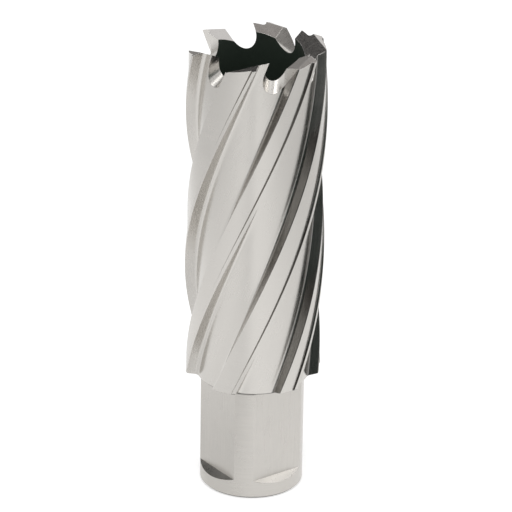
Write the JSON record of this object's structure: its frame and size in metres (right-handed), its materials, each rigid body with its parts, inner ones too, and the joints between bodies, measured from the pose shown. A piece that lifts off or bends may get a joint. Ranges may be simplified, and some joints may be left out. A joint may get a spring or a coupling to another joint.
{
  "type": "annular cutter",
  "caption": "Hollow ring-cutting tool with a round flatted shank, a core bore, right-hand helical flutes and stepped teeth.",
  "frame": {"origin": "centre of the shank's end face, on the cutter's axis", "axes": "+Z along the axis from the shank end to the teeth; -Y is the side that the picture shows, with the strip between the two shank flats near it"},
  "size_m": [0.0254, 0.0254, 0.0861],
  "materials": {
    "ground_tool_steel": "ground high-speed steel, satin, with brighter lands and a dark bore"
  },
  "bodies": {
    "root": {"annular_cutter": "ground_tool_steel"}
  },
  "joints": []
}
